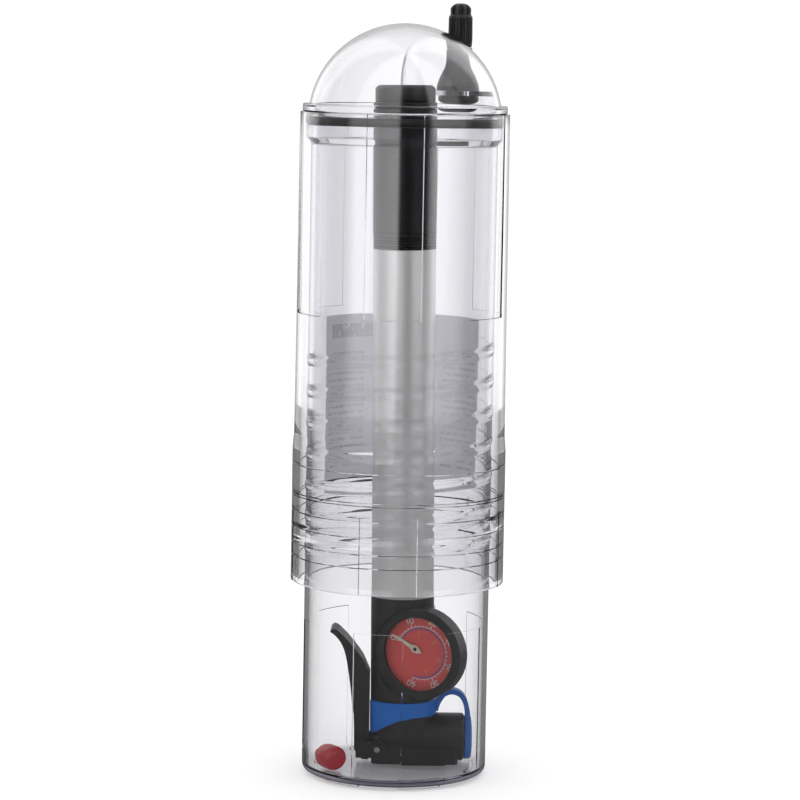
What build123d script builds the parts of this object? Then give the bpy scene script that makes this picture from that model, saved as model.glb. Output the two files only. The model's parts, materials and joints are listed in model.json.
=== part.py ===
"""A clear re-pressurising ball can, with the hand pump that is kept inside it.

The open container stands on the floor. A clear sleeve with a domed top screws down over it, and the O-ring in
the container's mouth rim seals on the sleeve's bore. A tyre valve sits in a pocket of the dome. The pump, a rolled
leaflet and a small valve adapter are stored in the container.

Millimetres. The origin is on the can's axis, at the plane of its feet. +Z is up and -Y is the front.
"""
import os
from math import cos, radians, sin

from build123d import *

os.makedirs("parts", exist_ok=True)

# ---- clearances ----------------------------------------------------------------------------------
slip_gap = 0.3          # between pieces that move past each other, or lie loosely
fit_gap = 0.05          # a pin, shaft or stem in its bore, on the radius
bite = 0.6              # how far a raised thread is rooted in its wall

# ---- container -----------------------------------------------------------------------------------
container_r = 39.2
container_wall = 2.0
container_height = 280.6
foot_height = 1.4
floor_thickness = 3.0
base_round = 3.0
rim_height = 10.1       # thick mouth rim
rim_chamfer = 2.4
oring_section = 3.4
oring_lip = 1.6         # rim above the O-ring

# ---- thread between container and sleeve -----------------------------------------------------------
thread_pitch = 13.2
thread_height = 2.5
thread_play = 0.5       # along the axis, on each flank
outer_ridge = 5.0       # width at the root of the container's ridge
ridge_taper = 0.8
outer_turns = 7.2
inner_turns = 1.45

# ---- sleeve ----------------------------------------------------------------------------------------
sleeve_wall = 2.0       # at the top
sleeve_step = 0.6       # each further step outwards, at the lower part and at the collar
sleeve_bottom = 83.0
collar_height = 57.0
collar_slope = 6.0

# ---- long moulded panels ---------------------------------------------------------------------------
panel_count = 6
panel_depth = 0.4
panel_span = 31.0
sleeve_panel_turn = -5.0      # centre of the front panel, in degrees to the right of the front
container_panel_turn = -11.0
upper_panel_length = 84.0
lower_panel_length = 32.5
container_panel_bottom = 6.0
container_panel_gap = 17.0    # from the panels' top to the sleeve
foot_inset = 4.7
foot_width = 1.6

# ---- dome ------------------------------------------------------------------------------------------
flange_thickness = 3.4
flange_inset = 1.0
dome_inset = 2.85       # from the flange's edge to the dome
dome_wall = 2.0
dome_rise = 33.8        # top of the dome above the flange
pocket_r = 39.0
pocket_turn = 45.0      # direction of the pocket from +X
pocket_step = 6.0       # floor of the pocket above the flange

# ---- tyre valve ------------------------------------------------------------------------------------
valve_turn = 31.0       # direction of the valve from +X
valve_hole_r = 5.65
valve_foot_r = 9.2
valve_neck_r = 5.3
valve_bell_height = 18.0
valve_bulb_height = 3.8
valve_room = 1.6        # between the rubber foot and the pocket's wall
stem_r = 3.85
stem_height = 31.6      # above the pocket's floor
core_bore_r = 2.3
core_bore_depth = 24.0
air_hole_r = 1.2
core_length = 16.0
core_pin_r = 0.55
pin_travel = 1.2
cap_wall = 1.25
cap_key_r = 4.2
cap_flutes = 24

# ---- pump ------------------------------------------------------------------------------------------
pump_x = 3.6            # at the floor
pump_lean = 0.0125      # to the left, for each millimetre up
barrel_r = 13.2
barrel_wall = 1.0
barrel_bottom = 76.7
rod_r = 4.0
piston_z = 86.0
piston_length = 8.0
grip_length = 60.9
grip_wall = 2.4
rib_band = 12.0
rib_pitch = 1.5
end_cap_length = 7.2
end_cap_room = 11.8     # the end cap stands this far above the container
neck_bottom = 16.3
foot_block = (-9.6, 27.4, 10.0)    # left x, right x, half width
nozzle_r = 10.5
nozzle_z = 15.3
nozzle_end = 29.8
nozzle_bore_r = 6.0
nozzle_bore_depth = 16.0

# ---- gauge -----------------------------------------------------------------------------------------
gauge_x = 9.1
gauge_y = -14.6
gauge_z = 53.6
gauge_turn = 25.0       # the dial faces this far to the left of the front
gauge_r = 19.5
gauge_rim_depth = 7.4
gauge_depth = 15.0
gauge_back_r = 15.0
dial_bore_r = 16.6
dial_seat = 5.6         # depth of the dial's seat behind the front
works_bore_r = 12.4
works_depth = 13.0
bezel_lip = 1.2
needle_offset = (-2.4, 1.6)        # its spindle, from the middle of the dial
needle_length = 12.3
needle_turn = 152.7     # direction of the resting needle from the dial's right

# ---- lever, strap, loose pieces --------------------------------------------------------------------
lever_width = 15.0
ear_thickness = 2.5
pin_x = -7.1
pin_z = 11.9
lever_pin_r = 1.2
strap_thickness = 2.1
strap_width = 6.0
band_thickness = 1.3
band_bottom = 18.0
band_top = 32.2
leaflet_thickness = 0.4
leaflet_bottom = 123.0
leaflet_height = 70.7
leaflet_span = 143.7
adapter_turn = 214.4    # direction of the adapter from +X
adapter_r = 5.2
adapter_length = 10.0

# ---- sizes that follow from the ones above ---------------------------------------------------------
container_bore = container_r - container_wall
container_floor = foot_height + floor_thickness
container_panel_top = sleeve_bottom - container_panel_gap
foot_r = container_r - foot_inset
rim_bottom = container_height - rim_height
oring_z = container_height - oring_lip - oring_section / 2
sleeve_bore = container_r + thread_height + slip_gap
sleeve_top_r = sleeve_bore + sleeve_wall
sleeve_low_r = sleeve_top_r + sleeve_step
collar_r = sleeve_low_r + sleeve_step
collar_top = sleeve_bottom + collar_height
sleeve_rim = container_height + 0.4
upper_panel_bottom = sleeve_rim - upper_panel_length
lower_panel_top = sleeve_bottom + lower_panel_length
rim_r = sleeve_bore - 0.6
groove_r = sleeve_bore - oring_section - 2 * fit_gap
inner_ridge = thread_pitch - outer_ridge - 2 * thread_play
outer_thread_z = sleeve_bottom + 8.0    # centre of the ridge at its lower end
inner_thread_z = outer_thread_z + thread_pitch / 2

flange_r = sleeve_top_r - flange_inset
flange_top = sleeve_rim + flange_thickness
dome_base_r = flange_r - dome_inset
dome_r = (dome_base_r**2 + dome_rise**2) / (2 * dome_rise)
dome_top = flange_top + dome_rise
dome_centre = dome_top - dome_r
grip_r = barrel_r + 0.15
neck_r = barrel_r + 0.2
end_cap_r = barrel_r - 0.6
pocket_near = grip_r + dome_wall + slip_gap     # from the can's axis to the pocket's wall
pocket_x = (pocket_near + pocket_r) * cos(radians(pocket_turn))
pocket_y = (pocket_near + pocket_r) * sin(radians(pocket_turn))
pocket_floor = flange_top + pocket_step
valve_x = (pocket_near + valve_foot_r + valve_room) * cos(radians(valve_turn))
valve_y = (pocket_near + valve_foot_r + valve_room) * sin(radians(valve_turn))
stem_top = pocket_floor + stem_height
core_seat_z = stem_top - core_bore_depth
cap_bottom = pocket_floor + valve_bell_height + 0.2
cap_r = stem_r + cap_wall
cap_key_z = stem_top - 0.2
cap_top = stem_top + 5.0

pump_floor = container_floor + slip_gap
barrel_bore = barrel_r - barrel_wall
piston_r = barrel_bore - 0.4
end_cap_top = container_height + end_cap_room
grip_top = end_cap_top - end_cap_length
grip_bottom = grip_top - grip_length
barrel_top = grip_bottom - slip_gap
adapter_reach = container_bore - adapter_r - 0.6
adapter_x = adapter_reach * cos(radians(adapter_turn))
adapter_y = adapter_reach * sin(radians(adapter_turn))
front = -90.0           # direction of the front in the XY plane

valve_axis = Plane((valve_x, valve_y, 0))
pump_axis = Plane(origin=(pump_x, 0, 0), z_dir=(-pump_lean, 0, 1))
gauge_face = Plane(
    origin=(gauge_x, gauge_y, gauge_z),
    x_dir=(cos(radians(gauge_turn)), -sin(radians(gauge_turn)), 0),
    z_dir=(-sin(radians(gauge_turn)), -cos(radians(gauge_turn)), 0),
)
needle_face = gauge_face.shift_origin(gauge_face.from_local_coords((*needle_offset, 0)))
front_view = Plane(origin=(0, 0, 0), x_dir=(1, 0, 0), z_dir=(0, -1, 0))
nozzle_axis = Plane(origin=(0, 0, nozzle_z), x_dir=(0, 1, 0), z_dir=(1, 0, 0))


def finish(builder, name):
    """Label a finished piece and write its file."""
    builder.part.label = name
    export_step(builder.part, f"parts/{name}.step")


def sector(inner_r, outer_r, middle, span):
    """A flat piece of a ring between two radii, centred on a direction in degrees."""
    with BuildSketch(mode=Mode.PRIVATE) as piece:
        with BuildLine():
            outer = CenterArc((0, 0), outer_r, middle - span / 2, span)
            inner = CenterArc((0, 0), inner_r, middle - span / 2, span)
            Line(outer @ 0, inner @ 0)
            Line(outer @ 1, inner @ 1)
        make_face()
    return piece.sketch


def helical_ridge(radius, height, root, start_z, turns):
    """A thread's ridge on a wall of this radius: outside where height is positive, inside where negative."""
    crest = root - ridge_taper
    rooted = -bite if height > 0 else bite
    with BuildPart(mode=Mode.PRIVATE) as ridge:
        with BuildLine() as path:
            Helix(thread_pitch, thread_pitch * turns, radius, center=(0, 0, start_z))
        with BuildSketch(Plane(origin=path.line @ 0, x_dir=(1, 0, 0), z_dir=path.line % 0)):
            with BuildLine():
                Polyline(
                    (rooted, -root / 2),
                    (0, -root / 2),
                    (height, -crest / 2),
                    (height, crest / 2),
                    (0, root / 2),
                    (rooted, root / 2),
                    close=True,
                )
            make_face()
        sweep(path=path.line, is_frenet=True)
    return ridge.part


def panel_cuts(inner_r, outer_r, turn):
    """The six panel outlines round the can, as one sketch."""
    with BuildSketch(mode=Mode.PRIVATE) as outlines:
        for number in range(panel_count):
            add(sector(inner_r, outer_r, front + turn + number * 360 / panel_count, panel_span))
    return outlines.sketch


# ==== container =====================================================================================
with BuildPart() as container:
    with BuildSketch(Plane.XY.offset(foot_height)):
        Circle(container_r)
    extrude(amount=container_height - foot_height)
    fillet(container.edges().sort_by(Axis.Z)[0], base_round)
    # thick mouth rim
    with BuildSketch(Plane.XZ):
        with BuildLine():
            Polyline(
                (container_r - bite, rim_bottom - rim_chamfer - bite),
                (container_r, rim_bottom - rim_chamfer),
                (rim_r, rim_bottom),
                (rim_r, container_height),
                (container_r - bite, container_height),
                close=True,
            )
        make_face()
    revolve(axis=Axis.Z)
    # the groove that holds the O-ring
    with BuildSketch(Plane.XY.offset(oring_z - oring_section / 2 - fit_gap)):
        Circle(rim_r + 1)
        Circle(groove_r, mode=Mode.SUBTRACT)
    extrude(amount=oring_section + 2 * fit_gap, mode=Mode.SUBTRACT)
    with BuildSketch(Plane.XY.offset(container_floor)):
        Circle(container_bore)
    extrude(amount=container_height, mode=Mode.SUBTRACT)
    with BuildSketch(Plane.XY.offset(container_panel_bottom)):
        add(panel_cuts(container_r - panel_depth, container_r + 1, container_panel_turn))
    extrude(amount=container_panel_top - container_panel_bottom, mode=Mode.SUBTRACT)
    # thin arc feet under the gaps between the panels
    with BuildSketch():
        for number in range(panel_count):
            middle = front + container_panel_turn + (number + 0.5) * 360 / panel_count
            add(sector(foot_r - foot_width, foot_r, middle, panel_span))
    extrude(amount=foot_height + bite)
    add(helical_ridge(container_r, thread_height, outer_ridge, outer_thread_z, outer_turns))
finish(container, "container")

with BuildPart() as mouth_oring:
    with BuildSketch(Plane.XZ):
        with Locations((sleeve_bore - fit_gap - oring_section / 2, oring_z)):
            Circle(oring_section / 2)
    revolve(axis=Axis.Z)
finish(mouth_oring, "mouth_oring")

# ==== sleeve ========================================================================================
with BuildPart() as sleeve:
    with BuildSketch(Plane.XZ):
        with BuildLine():
            Polyline(
                (sleeve_bore, sleeve_bottom),
                (collar_r - 0.8, sleeve_bottom),
                (collar_r, sleeve_bottom + 0.8),
                (collar_r - 0.1, collar_top),
                (sleeve_low_r, collar_top + collar_slope),
                (sleeve_top_r, sleeve_rim),
                (sleeve_bore, sleeve_rim),
                close=True,
            )
        make_face()
    revolve(axis=Axis.Z)
    with BuildSketch(Plane.XY.offset(upper_panel_bottom)):
        add(panel_cuts(sleeve_top_r - panel_depth, collar_r + 1, sleeve_panel_turn))
    extrude(amount=sleeve_rim - upper_panel_bottom, mode=Mode.SUBTRACT)
    with BuildSketch(Plane.XY.offset(sleeve_bottom)):
        add(panel_cuts(collar_r - panel_depth, collar_r + 1, sleeve_panel_turn))
    extrude(amount=lower_panel_top - sleeve_bottom, mode=Mode.SUBTRACT)
    add(helical_ridge(sleeve_bore, -thread_height, inner_ridge, inner_thread_z, inner_turns))
finish(sleeve, "sleeve")

# ==== dome ==========================================================================================
# the hollow inside follows the dome and the pocket at one wall's thickness
with BuildPart() as dome_hollow:
    with BuildSketch(Plane.XZ):
        with BuildLine():
            CenterArc((0, dome_centre), dome_r - dome_wall, 0, 90)
            Line((0, dome_top - dome_wall), (0, dome_centre))
            Line((0, dome_centre), (dome_r - dome_wall, dome_centre))
        make_face()
    revolve(axis=Axis.Z)
    with BuildSketch(Plane.XY.offset(pocket_floor - dome_wall)):
        with Locations((pocket_x, pocket_y)):
            Circle(pocket_r + dome_wall)
    extrude(amount=dome_rise + flange_thickness, mode=Mode.SUBTRACT)

with BuildPart() as dome:
    with BuildSketch(Plane.XY.offset(sleeve_rim)):
        Circle(flange_r)
    extrude(amount=flange_thickness)
    fillet(dome.edges().filter_by(GeomType.CIRCLE), 0.7)
    with BuildSketch(Plane.XZ):
        with BuildLine():
            CenterArc((0, dome_centre), dome_r, 0, 90)
            Line((0, dome_top), (0, dome_centre))
            Line((0, dome_centre), (dome_r, dome_centre))
        make_face()
        with Locations((dome_r / 2, flange_top - dome_r / 2)):
            Rectangle(dome_r + 2, dome_r, mode=Mode.SUBTRACT)
    revolve(axis=Axis.Z)
    # the pocket for the valve, open at the top and at the side
    with BuildSketch(Plane.XY.offset(pocket_floor)):
        with Locations((pocket_x, pocket_y)):
            Circle(pocket_r)
    extrude(amount=dome_rise + flange_thickness, mode=Mode.SUBTRACT)
    add(dome_hollow.part, mode=Mode.SUBTRACT)
    with BuildSketch(Plane.XY.offset(sleeve_rim)):
        with Locations((valve_x, valve_y)):
            Circle(valve_hole_r)
    extrude(amount=pocket_floor - sleeve_rim + 1, mode=Mode.SUBTRACT)
finish(dome, "dome")

# ==== tyre valve ====================================================================================
with BuildPart() as valve_rubber_body:
    with BuildSketch(Plane(origin=(valve_x, valve_y, pocket_floor), x_dir=(1, 0, 0), z_dir=(0, -1, 0))):
        with BuildLine():
            Polyline(
                (stem_r, valve_bell_height),
                (stem_r, -dome_wall - valve_bulb_height),
                (valve_foot_r - 1.6, -dome_wall - valve_bulb_height),
            )
            ThreePointArc(
                (valve_foot_r - 1.6, -dome_wall - valve_bulb_height),
                (valve_foot_r, -dome_wall - valve_bulb_height / 2),
                (valve_foot_r - 0.8, -dome_wall),
            )
            Polyline(
                (valve_foot_r - 0.8, -dome_wall),
                (valve_hole_r - fit_gap, -dome_wall),
                (valve_hole_r - fit_gap, 0),
                (valve_foot_r, 0),
            )
            Line((valve_foot_r, 0), (valve_foot_r - 0.3, 1.6))
            TangentArc(
                (valve_foot_r - 0.3, 1.6),
                (valve_neck_r + 0.9, valve_bell_height / 2),
                tangent=(-0.8, 1),
            )
            Line((valve_neck_r + 0.9, valve_bell_height / 2), (valve_neck_r, valve_bell_height))
            Line((valve_neck_r, valve_bell_height), (stem_r, valve_bell_height))
        make_face()
    revolve(axis=Axis((valve_x, valve_y, 0), (0, 0, 1)))
finish(valve_rubber_body, "valve_rubber_body")

with BuildPart() as valve_stem:
    stem_bottom = pocket_floor - dome_wall - valve_bulb_height
    with BuildSketch(valve_axis.offset(stem_bottom)):
        Circle(stem_r)
    extrude(amount=stem_top - stem_bottom)
    chamfer(valve_stem.edges().sort_by(Axis.Z)[-1], 0.4)
    with BuildSketch(valve_axis.offset(stem_bottom)):
        Circle(air_hole_r)
    extrude(amount=stem_top - stem_bottom, mode=Mode.SUBTRACT)
    with BuildSketch(valve_axis.offset(core_seat_z)):
        Circle(core_bore_r)
    extrude(amount=stem_top - core_seat_z, mode=Mode.SUBTRACT)
    # turned grooves of the cap's thread
    for step in range(8):
        with BuildSketch(valve_axis.offset(cap_bottom + 2 + step * 1.2)):
            Circle(stem_r)
            Circle(stem_r - 0.35, mode=Mode.SUBTRACT)
        extrude(amount=0.5, mode=Mode.SUBTRACT)
finish(valve_stem, "valve_stem")

core_bottom = stem_top - 1 - core_length
with BuildPart() as valve_core_body:
    with BuildSketch(valve_axis.offset(core_bottom)):
        Circle(core_bore_r - fit_gap)
        Circle(core_pin_r + 0.35, mode=Mode.SUBTRACT)
    extrude(amount=core_length)
    with BuildSketch(valve_axis.offset(core_bottom + core_length - 2)):
        Rectangle(2 * core_bore_r, 1.0)
        Circle(core_pin_r + 0.35, mode=Mode.SUBTRACT)
        Circle(core_bore_r - fit_gap, mode=Mode.INTERSECT)
    extrude(amount=2)
finish(valve_core_body, "valve_core_body")

gasket_thickness = 0.9
disc_thickness = 1.0
with BuildPart() as valve_core_gasket:
    with BuildSketch(valve_axis.offset(core_bottom - 0.1 - gasket_thickness)):
        Circle(core_bore_r - 0.4)
        Circle(core_pin_r + 0.02, mode=Mode.SUBTRACT)
    extrude(amount=gasket_thickness)
finish(valve_core_gasket, "valve_core_gasket")

disc_top = core_bottom - 0.1 - gasket_thickness
with BuildPart() as valve_core_pin:
    with BuildSketch(valve_axis.offset(disc_top - disc_thickness)):
        Circle(core_bore_r - 0.4)
    extrude(amount=disc_thickness)
    with BuildSketch(valve_axis.offset(disc_top)):
        Circle(core_pin_r)
    extrude(amount=stem_top - 0.4 - disc_top)
finish(valve_core_pin, "valve_core_pin")

spring_wire = 0.2
spring_top = disc_top - disc_thickness
with BuildPart() as valve_core_spring:
    with BuildLine() as coil:
        Helix(
            1.0,
            spring_top - core_seat_z - 2 * spring_wire - 0.04,
            core_bore_r - 0.7,
            center=(valve_x, valve_y, core_seat_z + spring_wire + 0.02),
        )
    with BuildSketch(Plane(origin=coil.line @ 0, z_dir=coil.line % 0)):
        Circle(spring_wire)
    sweep(path=coil.line, is_frenet=True)
finish(valve_core_spring, "valve_core_spring")

with BuildPart() as valve_cap:
    with BuildSketch(valve_axis.offset(cap_bottom)):
        Circle(cap_r)
        with PolarLocations(cap_r + 0.15, cap_flutes):
            Circle(0.42, mode=Mode.SUBTRACT)
    extrude(amount=cap_key_z - cap_bottom)
    with BuildSketch(valve_axis.offset(cap_key_z)):
        Circle(cap_key_r)
        with PolarLocations(cap_key_r, 6):
            Rectangle(1.8, 1.3, mode=Mode.SUBTRACT)
    extrude(amount=3.9)
    with BuildSketch(valve_axis.offset(cap_key_z + 3.9)):
        Circle(cap_key_r - 1.0)
    extrude(amount=cap_top - cap_key_z - 3.9)
    fillet(valve_cap.edges().sort_by(Axis.Z)[-1], 0.9)
    with BuildSketch(valve_axis.offset(cap_bottom)):
        Circle(stem_r + 0.1)
    extrude(amount=stem_top + 0.4 - cap_bottom, mode=Mode.SUBTRACT)
finish(valve_cap, "valve_cap")

# ==== pump barrel and handle ========================================================================
with BuildPart() as pump_barrel:
    with BuildSketch(pump_axis.offset(barrel_bottom)):
        Circle(barrel_r)
        Circle(barrel_bore, mode=Mode.SUBTRACT)
    extrude(amount=barrel_top - barrel_bottom)
finish(pump_barrel, "pump_barrel")

with BuildPart() as barrel_ring:
    with BuildSketch(pump_axis.offset(barrel_bottom)):
        Circle(barrel_r + 0.45)
        Circle(barrel_r + 0.02, mode=Mode.SUBTRACT)
    extrude(amount=1.8)
    fillet(barrel_ring.edges().group_by(Axis.Z)[-1].sort_by(SortBy.RADIUS)[-1], 0.3)
finish(barrel_ring, "barrel_ring")

guide_length = 7.0
with BuildPart() as rod_guide:
    with BuildSketch(pump_axis.offset(barrel_top - guide_length)):
        Circle(barrel_bore - 0.02)
        Circle(rod_r + fit_gap, mode=Mode.SUBTRACT)
    extrude(amount=guide_length)
finish(rod_guide, "rod_guide")

with BuildPart() as piston_rod:
    with BuildSketch(pump_axis.offset(piston_z)):
        Circle(rod_r)
        Circle(rod_r - 1.0, mode=Mode.SUBTRACT)
    extrude(amount=end_cap_top - 3.0 - piston_z)
finish(piston_rod, "piston_rod")

with BuildPart() as pump_piston:
    with BuildSketch(pump_axis.offset(piston_z)):
        Circle(piston_r)
        Circle(rod_r, mode=Mode.SUBTRACT)
    extrude(amount=piston_length)
    with BuildSketch(pump_axis.offset(piston_z + 3.0)):
        Circle(piston_r)
        Circle(piston_r - 2.0, mode=Mode.SUBTRACT)
    extrude(amount=2.4, mode=Mode.SUBTRACT)
finish(pump_piston, "pump_piston")

with BuildPart() as piston_cup_seal:
    with BuildSketch(pump_axis.offset(piston_z + 3.02)):
        Circle(barrel_bore - fit_gap)
        Circle(piston_r - 1.98, mode=Mode.SUBTRACT)
    extrude(amount=2.36)
finish(piston_cup_seal, "piston_cup_seal")

with BuildPart() as grip:
    with BuildSketch(pump_axis.offset(grip_bottom)):
        Circle(grip_r)
    extrude(amount=grip_top - grip_bottom)
    fillet(grip.edges().sort_by(Axis.Z)[-1], 0.8)
    with BuildSketch(pump_axis.offset(grip_bottom)):
        Circle(grip_r - grip_wall)
        Circle(rod_r + 2.0, mode=Mode.SUBTRACT)
    extrude(amount=grip_top - grip_bottom - grip_wall, mode=Mode.SUBTRACT)
    with BuildSketch(pump_axis.offset(grip_bottom)):
        Circle(rod_r + 0.02)
    extrude(amount=grip_top - grip_bottom, mode=Mode.SUBTRACT)
    # fine rings round the lower end
    for step in range(int(rib_band / rib_pitch)):
        with BuildSketch(pump_axis.offset(grip_bottom + 1.0 + step * rib_pitch)):
            Circle(grip_r)
            Circle(grip_r - 0.4, mode=Mode.SUBTRACT)
        extrude(amount=rib_pitch / 2, mode=Mode.SUBTRACT)
finish(grip, "grip")

with BuildPart() as grip_end_cap:
    with BuildSketch(pump_axis.offset(grip_top)):
        Circle(end_cap_r)
    extrude(amount=end_cap_top - grip_top)
    chamfer(grip_end_cap.edges().sort_by(Axis.Z)[-1], 1.2)
    with BuildSketch(pump_axis.offset(grip_top)):
        Circle(rod_r + 0.02)
    extrude(amount=end_cap_top - 2.9 - grip_top, mode=Mode.SUBTRACT)
finish(grip_end_cap, "grip_end_cap")

# ==== pump chuck ====================================================================================
with BuildPart() as chuck_housing:
    with BuildSketch(pump_axis.offset(neck_bottom)):
        Circle(neck_r)
    extrude(amount=barrel_bottom - neck_bottom)
    with BuildSketch(Plane.XY.offset(pump_floor)):
        with Locations(((foot_block[0] + foot_block[1]) / 2, 0)):
            RectangleRounded(foot_block[1] - foot_block[0], 2 * foot_block[2], 3.0)
    extrude(amount=neck_bottom - pump_floor + 1)
    with BuildSketch(nozzle_axis):
        Circle(nozzle_r)
    extrude(amount=nozzle_end)
    fillet(chuck_housing.edges().filter_by(GeomType.CIRCLE).sort_by(Axis.X)[-1], 1.2)
    # the gauge's round case, with the neck cleared away in front of it
    with BuildSketch(gauge_face):
        Circle(gauge_r)
    extrude(amount=2 * neck_r, mode=Mode.SUBTRACT)
    with BuildSketch(gauge_face):
        Circle(gauge_r)
    extrude(amount=-gauge_rim_depth)
    with BuildSketch(gauge_face.offset(-gauge_rim_depth)):
        Circle(gauge_r - 1.0)
    with BuildSketch(gauge_face.offset(-gauge_depth)):
        Circle(gauge_back_r)
    loft()
    with BuildSketch(gauge_face):
        Circle(dial_bore_r)
    extrude(amount=-dial_seat, mode=Mode.SUBTRACT)
    with BuildSketch(gauge_face):
        Circle(works_bore_r)
    extrude(amount=-works_depth, mode=Mode.SUBTRACT)
    # spigot for the barrel, and the chuck's bore
    with BuildSketch(pump_axis.offset(barrel_bottom)):
        Circle(barrel_bore - 0.02)
    extrude(amount=6.0)
    with BuildSketch(nozzle_axis.offset(nozzle_end - nozzle_bore_depth)):
        Circle(nozzle_bore_r)
    extrude(amount=nozzle_bore_depth + 1, mode=Mode.SUBTRACT)
    # the lever pin's hole
    with BuildSketch(front_view.offset(-foot_block[2] - 1)):
        with Locations((pin_x, pin_z)):
            Circle(lever_pin_r + 0.02)
    extrude(amount=2 * foot_block[2] + 2, mode=Mode.SUBTRACT)
finish(chuck_housing, "chuck_housing")

with BuildPart() as check_valve:
    with BuildSketch(pump_axis.offset(barrel_bottom + 6.05)):
        Circle(6.0)
    extrude(amount=1.2)
finish(check_valve, "check_valve")

with BuildPart() as chuck_gasket:
    with BuildSketch(nozzle_axis.offset(nozzle_end - 7.0)):
        Circle(nozzle_bore_r - 0.02)
        Circle(3.9, mode=Mode.SUBTRACT)
    extrude(amount=6.0)
finish(chuck_gasket, "chuck_gasket")

with BuildPart() as chuck_plunger:
    with BuildSketch(nozzle_axis.offset(nozzle_end - nozzle_bore_depth + 0.05)):
        Circle(nozzle_bore_r - fit_gap)
        Circle(1.5, mode=Mode.SUBTRACT)
    extrude(amount=nozzle_bore_depth - 7.1)
finish(chuck_plunger, "chuck_plunger")

# ==== lever =========================================================================================
ear_inner = foot_block[2] + slip_gap
lever_inner = pump_x - 45 * pump_lean - neck_r - slip_gap
ear_left = lever_inner - 3.8
with BuildPart() as lever:
    with BuildSketch(front_view.offset(-lever_width / 2)):
        with BuildLine():
            Spline(
                (lever_inner - 17.4, 61.6),
                (lever_inner - 11.5, 55.0),
                (lever_inner - 9.4, 46.6),
                (lever_inner - 7.9, 36.7),
                (lever_inner - 6.7, 24.9),
                (lever_inner - 6.2, 11.0),
            )
            Polyline(
                (lever_inner - 6.2, 11.0),
                (lever_inner - 2.8, 6.4),
                (lever_inner, 6.4),
                (lever_inner, 43.0),
                (lever_inner - 2.9, 49.4),
            )
            Spline((lever_inner - 2.9, 49.4), (lever_inner - 6.8, 54.8), (lever_inner - 14.0, 62.2))
            Polyline((lever_inner - 14.0, 62.2), (lever_inner - 15.6, 62.8), (lever_inner - 17.4, 61.6))
        make_face()
    extrude(amount=lever_width)
    fillet(lever.edges().filter_by(Axis.Y).sort_by(Axis.Z)[-3:], 0.5)
    for side in (-1, 1):
        inner = side * ear_inner
        with BuildSketch(Plane(origin=(0, inner, 0), x_dir=(1, 0, 0), z_dir=(0, -1, 0))):
            with Locations((pin_x, pin_z)):
                Circle(3.8)
            with Locations(((pin_x + ear_left) / 2, pin_z - 0.3)):
                Rectangle(pin_x - ear_left, 6.6)
            with Locations((pin_x, pin_z)):
                Circle(lever_pin_r + fit_gap, mode=Mode.SUBTRACT)
        extrude(amount=-side * ear_thickness)
    # the ears' roots reach the plate, which is narrower than the ears' span
    for side in (-1, 1):
        with BuildSketch(Plane.XY.offset(pin_z - 3.6)):
            with Locations((ear_left, side * (ear_inner + ear_thickness + lever_width / 2 - 2) / 2)):
                Rectangle(3.2, ear_inner + ear_thickness - lever_width / 2 + 2)
        extrude(amount=6.6)
finish(lever, "lever")

with BuildPart() as lever_pin:
    with BuildSketch(front_view.offset(-ear_inner - ear_thickness)):
        with Locations((pin_x, pin_z)):
            Circle(lever_pin_r)
    extrude(amount=2 * (ear_inner + ear_thickness))
finish(lever_pin, "lever_pin")

# ==== gauge =========================================================================================
lens_thickness = 1.2
dial_thickness = 0.8
spindle_r = 0.8
needle_thickness = 0.5
needle_depth = dial_seat - dial_thickness - 0.8     # back of the needle, behind the front
with BuildPart() as gauge_bezel:
    with BuildSketch(gauge_face.offset(-bezel_lip)):
        Circle(dial_bore_r - 0.02)
        Circle(dial_bore_r - 1.0, mode=Mode.SUBTRACT)
    extrude(amount=bezel_lip)
    chamfer(gauge_bezel.edges().sort_by(Axis(gauge_face.origin, gauge_face.z_dir))[-1], 0.3)
finish(gauge_bezel, "gauge_bezel")

with BuildPart() as gauge_lens:
    with BuildSketch(gauge_face.offset(-bezel_lip - lens_thickness)):
        Circle(dial_bore_r - 0.02)
    extrude(amount=lens_thickness)
finish(gauge_lens, "gauge_lens")

with BuildPart() as gauge_dial:
    with BuildSketch(gauge_face.offset(-dial_seat)):
        Circle(dial_bore_r - 0.02)
        with Locations(needle_offset):
            Circle(spindle_r + fit_gap, mode=Mode.SUBTRACT)
    extrude(amount=dial_thickness)
finish(gauge_dial, "gauge_dial")

with BuildPart() as gauge_needle:
    with BuildSketch(needle_face.offset(-needle_depth)):
        with Locations(Location((0, 0), needle_turn)):
            Polygon(
                (-3.4, 0),
                (-1.2, -1.5),
                (2.2, -0.8),
                (needle_length, -0.15),
                (needle_length, 0.15),
                (2.2, 0.8),
                (-1.2, 1.5),
                align=None,
            )
        Circle(1.6)
        Circle(spindle_r, mode=Mode.SUBTRACT)
    extrude(amount=needle_thickness)
finish(gauge_needle, "gauge_needle")

with BuildPart() as gauge_spindle:
    with BuildSketch(needle_face.offset(slip_gap - works_depth)):
        Circle(spindle_r)
    extrude(amount=works_depth - slip_gap - needle_depth + needle_thickness + 0.2)
    with BuildSketch(needle_face.offset(slip_gap - works_depth)):
        Circle(3.0)
    extrude(amount=2.0)
finish(gauge_spindle, "gauge_spindle")

with BuildPart() as bourdon_tube:
    with BuildLine(gauge_face.offset(-works_depth + 1.5)) as bend:
        CenterArc((0, 0), 9.5, -60, 290)
    with BuildSketch(Plane(origin=bend.line @ 0, z_dir=bend.line % 0)):
        Circle(1.2)
    sweep(path=bend.line)
finish(bourdon_tube, "bourdon_tube")

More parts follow.
